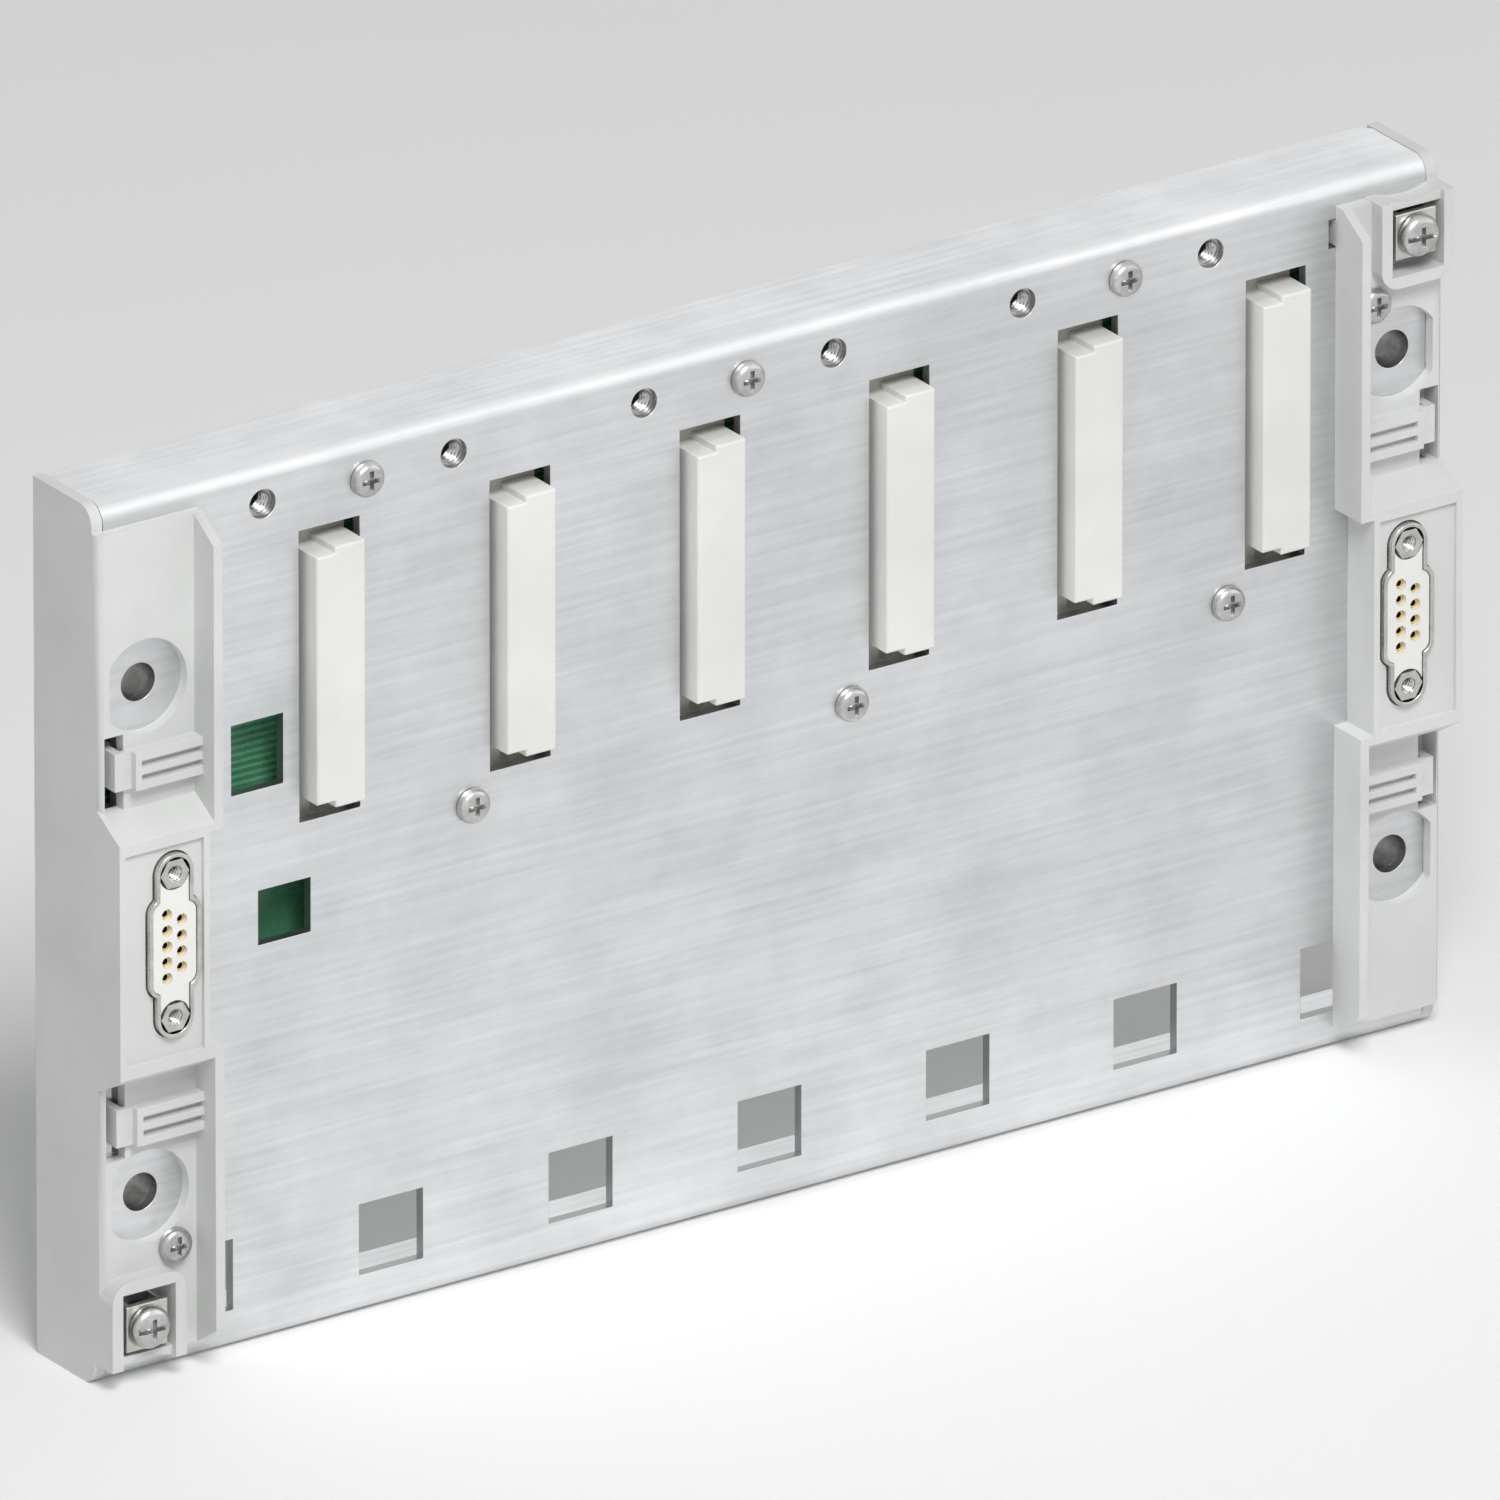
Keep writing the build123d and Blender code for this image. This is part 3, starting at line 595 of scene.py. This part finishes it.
def board_material(colours):
    """Solder mask over copper: bus lines run along the rack past every slot."""
    _, tree, shader, coords = start_material("rack_board_laminate", 0.0)
    low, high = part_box("slot_socket_1")
    line_pitch = 0.00127
    margin = 0.006
    _, _, z = add_node(tree, "ShaderNodeSeparateXYZ", {0: coords}).outputs
    phase = calc(tree, "FRACT", calc(tree, "DIVIDE", z, line_pitch))
    from_line = calc(tree, "ABSOLUTE", calc(tree, "SUBTRACT", phase, 0.5))
    line_edge = (0.2, 0.25)
    line = ranged(tree, from_line, line_edge, (1.0, 0.0))
    above = calc(tree, "GREATER_THAN", z, low[2] + margin)
    below = calc(tree, "LESS_THAN", z, high[2] - margin)
    copper = calc(tree, "MULTIPLY", line, calc(tree, "MULTIPLY", above, below))
    weave = noise(tree, coords, scale=1500.0, detail=2.0)
    tone = weighed(tree, copper, weave, first_share=0.75)
    mask, over_copper = (shade(colours.board_laminate, factor) for factor in (0.8, 1.75))
    smooth_to_rough = (0.26, 0.38)
    roughness = ranged(tree, weave, (0.3, 0.7), smooth_to_rough)
    set_look(tree, shader, blended(tree, tone, mask, over_copper), roughness)
    relief = calc(tree, "ADD", copper, calc(tree, "MULTIPLY", weave, 0.15))
    add_bump(tree, shader, relief, metres=0.000035)


def make_materials(colours, edges):
    """Make every finish of the rack. A finish is named rack_ and its slot."""
    zinc_sheet_material(colours, edges)
    board_material(colours)
    for slot, roughness, texture, depth in (
        ("cap_plastic", 0.5, 3000.0, 0.00004),
        ("cover_plastic", 0.36, 2600.0, 0.000014),
        ("socket_plastic", 0.42, 3600.0, 0.00001),
        ("port_plastic", 0.38, 3600.0, 0.000006),
    ):
        moulded_material(slot, getattr(colours, slot), roughness, texture, depth)
    for slot, roughness, dull, bright in (
        ("nickel_plate", 0.24, 0.64, 0.82),
        ("terminal_nickel", 0.3, 0.66, 0.84),
        ("zinc_screw", 0.27, 0.54, 0.74),
        ("contact_gold", 0.2, 0.92, 1.03),
        ("solder", 0.26, 0.72, 0.9),
    ):
        plated_material(slot, getattr(colours, slot), roughness, dull, bright)


def finish(slot):
    """The finish of this slot, made with all the others on first use."""
    name = f"rack_{slot}"
    if name not in bpy.data.materials:
        scene = bpy.context.scene
        make_materials(scene.rack_colours, scene.rack_edges)
    return bpy.data.materials[name]


def dress(nodes, slot):
    """Give the nodes their finish."""
    for node in nodes:
        for holder in frame["nodes"][node].material_slots:
            holder.material = finish(slot)


def smooth_faces_group():
    """A geometry group that shades every face smooth, for the rounded edges to run into."""
    name = "smooth_faces"
    if name in bpy.data.node_groups:
        return bpy.data.node_groups[name]
    group = bpy.data.node_groups.new(name, "GeometryNodeTree")
    group.interface.new_socket("Geometry", in_out="INPUT", socket_type="NodeSocketGeometry")
    group.interface.new_socket("Geometry", in_out="OUTPUT", socket_type="NodeSocketGeometry")
    start = group.nodes.new("NodeGroupInput")
    bare = group.nodes.new("GeometryNodeRemoveAttribute")
    bare.inputs["Name"].default_value = "custom_normal"
    smooth = group.nodes.new("GeometryNodeSetShadeSmooth")
    end = group.nodes.new("NodeGroupOutput")
    group.links.new(start.outputs[0], bare.inputs[0])
    group.links.new(bare.outputs[0], smooth.inputs[0])
    group.links.new(smooth.outputs[0], end.inputs[0])
    return group


def round_edges(nodes, width, steps, sharp_angle=math.radians(30)):
    """Merge a node's triangles into whole flat faces and round the sharp edges between them."""
    same_place = 0.000002
    flat_angle = math.radians(0.5)
    for node in nodes:
        piece = frame["nodes"][node]
        smooth = piece.modifiers.new("smooth", "NODES")
        smooth.node_group = smooth_faces_group()
        weld = piece.modifiers.new("merge", "WELD")
        weld.merge_threshold = same_place
        flats = piece.modifiers.new("flats", "DECIMATE")
        flats.decimate_type = "DISSOLVE"
        flats.angle_limit = flat_angle
        bevel = piece.modifiers.new("round", "BEVEL")
        bevel.width = width
        bevel.segments = steps
        bevel.limit_method = "ANGLE"
        bevel.angle_limit = sharp_angle
        bevel.use_clamp_overlap = False
        bevel.loop_slide = False
        piece.modifiers.new("triangles", "TRIANGULATE")
        normals = piece.modifiers.new("normals", "WEIGHTED_NORMAL")
        normals.mode = "FACE_AREA"
        normals.keep_sharp = False


# Groups of pieces

def numbered(prefix):
    """The nodes whose names are this prefix and a number."""
    found = [name for name in frame["nodes"] if name.rstrip("0123456789") == f"{prefix}_"]
    if not found:
        raise RuntimeError(f"the model has no {prefix} with a number")
    return sorted(found)


def on_sides(*names):
    """The nodes of both ends with these names."""
    found = [f"{side}_{name}" for side in sides for name in names]
    missing = [name for name in found if name not in frame["nodes"]]
    if missing:
        raise RuntimeError(f"the model has no {', '.join(missing)}")
    return found


def contact_places(node):
    """Where a port's nine contacts stand: five in the left row, four between them in the right."""
    radius = bpy.context.scene.rack_solder.contact_radius
    low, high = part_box(node)
    long_row = 5
    short_row = long_row - 1
    pitch = (high[2] - low[2] - 2 * radius) / short_row
    left = low[2] + radius + pitch * np.arange(long_row)
    right = left[:short_row] + pitch / 2
    across = np.repeat([low[0] + radius, high[0] - radius], [long_row, short_row])
    along = np.concatenate([left, right])
    return np.stack([across, np.zeros_like(across), along], axis=-1)


def pin_places(solder):
    """Where a slot socket's pins stand about its middle: a grid of rows and pins."""
    row = (np.arange(solder.rows) - (solder.rows - 1) / 2) * solder.pitch
    pin = (np.arange(solder.pins) - (solder.pins - 1) / 2) * solder.pitch
    across, along = (grid.ravel() for grid in np.meshgrid(row, pin))
    return np.stack([across, np.zeros_like(across), along], axis=-1)


def add_solder(node, joint, x, z, offsets):
    """Solder joints for a node, on the board's back at every offset from a place."""
    board_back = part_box("backplane_board")[1][1]
    points, faces = repeated(to_back(joint[0], x, board_back, z), joint[1], offsets)
    make_piece(f"{node}_solder", points, faces, finish("solder"))


def line_bore(node, sleeve, turn, mouth, slot):
    """Put a thread sleeve into a node's bore, turned to the front or back from its mouth."""
    x, _, z = middle(node)
    points = turn(sleeve[0], x, mouth, z)
    make_piece(f"{node}_thread", points, sleeve[1], finish(slot))


def add_screw(node, head, diameter, pitch, slot_span=0.0):
    """A threaded screw in place of a node, as wide and as long as the node is."""
    settings = bpy.context.scene.rack_screws
    low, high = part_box(node)
    head_radius = (high[0] - low[0]) / 2
    reach = high[1] - low[1] - head[0]
    points, faces = screw_surface(settings, head_radius, head, diameter / 2, pitch, reach, slot_span)
    x, _, z = middle(node)
    points = to_front(points, x, low[1] + head[0], z)
    piece = make_piece(f"threaded_{node}", points, faces, finish("zinc_screw"))
    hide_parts(node)


class RACK_OT_chassis(bpy.types.Operator):
    """Give the folded channel its zinc finish and rounded punched edges"""

    bl_idname = "rack.chassis"
    bl_label = "Chassis"

    def execute(self, context):
        edges = context.scene.rack_edges
        dress(["chassis"], "zinc_sheet")
        round_edges(["chassis"], edges.sheet, edges.fine_steps)
        return {"FINISHED"}


class RACK_OT_end_caps(bpy.types.Operator):
    """Give both end caps their moulded finish and rounded edges"""

    bl_idname = "rack.end_caps"
    bl_label = "End caps"

    def execute(self, context):
        edges = context.scene.rack_edges
        caps = on_sides("end_cap")
        dress(caps, "cap_plastic")
        round_edges(caps, edges.moulding, edges.steps, sharp_angle=math.radians(50))
        return {"FINISHED"}


class RACK_OT_slots(bpy.types.Operator):
    """Finish the slot sockets and their dust covers"""

    bl_idname = "rack.slots"
    bl_label = "Slots"

    def execute(self, context):
        edges = context.scene.rack_edges
        sockets = numbered("slot_socket")
        covers = numbered("dust_cover")
        dress(sockets, "socket_plastic")
        round_edges(sockets, edges.socket, edges.fine_steps)
        dress(covers, "cover_plastic")
        round_edges(covers, edges.cover, edges.fine_steps)
        return {"FINISHED"}


class RACK_OT_board(bpy.types.Operator):
    """Finish the backplane board and add the solder joints on its back"""

    bl_idname = "rack.board"
    bl_label = "Board"

    def execute(self, context):
        solder = context.scene.rack_solder
        dress(["backplane_board"], "board_laminate")
        joint = solder_joint(
            solder.foot_radius, solder.pin_radius, solder.joint_height, solder.pin_reach,
        )
        for node in numbered("slot_socket"):
            x, _, z = middle(node)
            add_solder(node, joint, x, z, pin_places(solder))
        tail = solder_joint(
            solder.tail_foot_radius, solder.tail_radius, solder.joint_height, solder.tail_reach,
        )
        for node in on_sides("port_contacts"):
            add_solder(node, tail, 0, 0, contact_places(node))
        return {"FINISHED"}


class RACK_OT_ports(bpy.types.Operator):
    """Finish the nine-way ports and line their jack screws with threads"""

    bl_idname = "rack.ports"
    bl_label = "Ports"

    def execute(self, context):
        edges = context.scene.rack_edges
        screws = context.scene.rack_screws
        shells = on_sides("port_shell")
        jacks = on_sides("lower_jack", "upper_jack")
        dress(shells + jacks, "nickel_plate")
        dress(on_sides("port_insulator"), "port_plastic")
        dress(on_sides("port_contacts"), "contact_gold")
        round_edges(shells, edges.shell, edges.steps)
        sleeve = thread_sleeve(
            screws.jack_diameter / 2, screws.jack_pitch, screws.jack_depth, screws.thread_share,
        )
        for jack in jacks:
            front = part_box(jack)[0][1]
            line_bore(jack, sleeve, to_front, front, "nickel_plate")
        return {"FINISHED"}


class RACK_OT_screws(bpy.types.Operator):
    """Put threaded screws with cross recesses in place of the plain ones"""

    bl_idname = "rack.screws"
    bl_label = "Screws"

    def execute(self, context):
        screws = context.scene.rack_screws
        small = (screws.m3_head_height, screws.m3_head_round)
        large = (screws.m4_head_height, screws.m4_head_round)
        for node in numbered("board_screw") + on_sides("cap_screw"):
            add_screw(node, small, screws.m3_diameter, screws.m3_pitch)
        for node in on_sides("earth_screw"):
            add_screw(node, large, screws.m4_diameter, screws.m4_pitch, screws.slot_span)
        return {"FINISHED"}


class RACK_OT_nuts(bpy.types.Operator):
    """Finish nuts, spacers and clamps, and line slot nuts and board spacers with threads"""

    bl_idname = "rack.nuts"
    bl_label = "Nuts and spacers"

    def execute(self, context):
        edges = context.scene.rack_edges
        screws = context.scene.rack_screws
        nuts = numbered("slot_nut")
        spacers = numbered("board_spacer")
        clamps = on_sides("earth_clamp")
        dress(nuts + spacers + numbered("fixing_spacer") + on_sides("earth_nut"), "zinc_screw")
        dress(clamps, "terminal_nickel")
        round_edges(clamps, edges.clamp, edges.steps)
        bore_gap = 0.00005
        nut_bore = screws.m4_diameter / 2 + bore_gap
        spacer_bore = screws.m3_diameter / 2 + bore_gap
        for nut in nuts:
            low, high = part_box(nut)
            sleeve = thread_sleeve(nut_bore, screws.m4_pitch, high[1] - low[1], screws.thread_share)
            line_bore(nut, sleeve, to_front, low[1], "zinc_screw")
        sleeve = thread_sleeve(
            spacer_bore, screws.m3_pitch, screws.spacer_depth, screws.thread_share,
        )
        for spacer in spacers:
            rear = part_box(spacer)[1][1]
            line_bore(spacer, sleeve, to_back, rear, "zinc_screw")
        return {"FINISHED"}


# Stage

def seen_rays(tree):
    """1 for rays that show a surface, straight, in gloss or through glass, and 0 for light."""
    path = add_node(tree, "ShaderNodeLightPath")
    seen = calc(tree, "MAXIMUM", path.outputs["Is Camera Ray"], path.outputs["Is Glossy Ray"])
    return calc(tree, "MAXIMUM", seen, path.outputs["Is Transmission Ray"])


def floor_material(colour, lift):
    """A pale painted floor, lifted towards white where it is seen but not where it lights."""
    material, tree, shader, coords = start_material("studio floor", 0.0, Roughness=0.75)
    cloud = noise(tree, coords, scale=3.0, detail=2.0)
    paint = mottled(tree, cloud, (0.3, 0.7), colour, tones=(0.99, 1.0))
    tree.links.new(paint, shader.inputs["Base Color"])
    shader.inputs["Emission Color"].default_value = (1.0, 1.0, 1.0, 1.0)
    glow = calc(tree, "MULTIPLY", seen_rays(tree), lift)
    tree.links.new(glow, shader.inputs["Emission Strength"])
    return material


def make_floor(stage):
    """A square floor that the rack stands on."""
    half = stage.floor_radius
    level = cad_box[0][2]
    corners = [(x * half, y * half, level) for x, y in ((-1, -1), (1, -1), (1, 1), (-1, 1))]
    mesh = bpy.data.meshes.new("studio_floor")
    mesh.from_pydata(corners, [], [(0, 1, 2, 3)])
    mesh.materials.append(floor_material(tuple(stage.floor_colour), stage.floor_lift))
    floor = bpy.data.objects.new("studio_floor", mesh)
    bpy.context.collection.objects.link(floor)


def make_world(light):
    """White for the camera and in reflections, and an even light for everything else."""
    world = bpy.data.worlds.new("studio")
    world.use_nodes = True
    tree = world.node_tree
    background = tree.nodes["Background"]
    background.inputs["Color"].default_value = (1.0, 1.0, 1.0, 1.0)
    strength = ranged(tree, seen_rays(tree), (0.0, 1.0), (light, 1.0))
    tree.links.new(strength, background.inputs["Strength"])
    bpy.context.scene.world = world


def view_axes(azimuth, elevation):
    """The directions back to the camera, to its right and up, for its two angles."""
    level = math.cos(elevation)
    back = np.array([math.sin(azimuth) * level, -math.cos(azimuth) * level, math.sin(elevation)])
    right = np.array([math.cos(azimuth), math.sin(azimuth), 0.0])
    return back, right, np.cross(back, right)


def place(obj, position, axes):
    """Stand a camera or lamp at a position, looking against the first of its axes."""
    back, right, up = axes
    matrix = np.eye(4)
    matrix[:3] = np.stack([right, up, back, position], axis=-1)
    obj.matrix_world = Matrix(matrix)


def add_lamp(name, power, size, azimuth, elevation, distance):
    """A square soft lamp that looks at the rack's middle."""
    light = bpy.data.lights.new(name, "AREA")
    light.shape = "SQUARE"
    light.size = size
    light.energy = power
    lamp = bpy.data.objects.new(name, light)
    bpy.context.collection.objects.link(lamp)
    axes = view_axes(math.radians(azimuth), math.radians(elevation))
    place(lamp, distance * axes[0], axes)


def make_camera(stage):
    """The scene's camera, far off with a long lens, for nearly parallel edges."""
    camera_data = bpy.data.cameras.new("camera")
    camera_data.sensor_width = 36.0
    camera_data.lens = camera_data.sensor_width * stage.distance / stage.frame_width
    camera_data.clip_start = 0.1
    camera_data.clip_end = 3 * stage.distance
    camera = bpy.data.objects.new("camera", camera_data)
    bpy.context.collection.objects.link(camera)
    axes = view_axes(stage.azimuth, stage.elevation)
    back, right, up = axes
    aim = stage.aim_right * right - stage.aim_below * up
    place(camera, aim + stage.distance * back, axes)
    bpy.context.scene.camera = camera


class RACK_OT_stage(bpy.types.Operator):
    """Add the floor, the lights, the white surround and the camera"""

    bl_idname = "rack.stage"
    bl_label = "Stage"

    def execute(self, context):
        stage = context.scene.rack_stage
        make_floor(stage)
        make_world(stage.world_light)
        for name, power, size, azimuth, elevation, distance in (
            ("key", stage.key_power, 0.8, -20.0, 50.0, 2.2),
            ("fill", stage.fill_power, 2.0, 55.0, 25.0, 2.6),
        ):
            add_lamp(name, power, size, azimuth, elevation, distance)
        make_camera(stage)
        context.scene.view_settings.view_transform = "Standard"
        return {"FINISHED"}


operators = (
    RACK_OT_chassis, RACK_OT_end_caps, RACK_OT_slots, RACK_OT_board, RACK_OT_ports,
    RACK_OT_screws, RACK_OT_nuts, RACK_OT_stage,
)


class RACK_PT_panel(bpy.types.Panel):
    """Lists the steps that dress the rack"""

    bl_idname = "RACK_PT_panel"
    bl_label = "Backplane Rack"
    bl_space_type = "VIEW_3D"
    bl_region_type = "UI"
    bl_category = "Rack"

    def draw(self, context):
        for operator in operators:
            self.layout.operator(operator.bl_idname)


settings_groups = {
    "rack_colours": RackColours,
    "rack_edges": RackEdges,
    "rack_screws": RackScrews,
    "rack_solder": RackSolder,
    "rack_stage": RackStage,
}


def register():
    """Register the settings, the operators and the panel."""
    for name, group in settings_groups.items():
        bpy.utils.register_class(group)
        setattr(bpy.types.Scene, name, PointerProperty(type=group))
    for operator in operators:
        bpy.utils.register_class(operator)
    bpy.utils.register_class(RACK_PT_panel)


def unregister():
    """Take back all that register does."""
    bpy.utils.unregister_class(RACK_PT_panel)
    for operator in reversed(operators):
        bpy.utils.unregister_class(operator)
    for name, group in settings_groups.items():
        delattr(bpy.types.Scene, name)
        bpy.utils.unregister_class(group)


def main():
    """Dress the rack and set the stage."""
    register()
    bpy.ops.rack.chassis()
    bpy.ops.rack.end_caps()
    bpy.ops.rack.slots()
    bpy.ops.rack.board()
    bpy.ops.rack.ports()
    bpy.ops.rack.screws()
    bpy.ops.rack.nuts()
    bpy.ops.rack.stage()


if __name__ == "__main__":
    main()
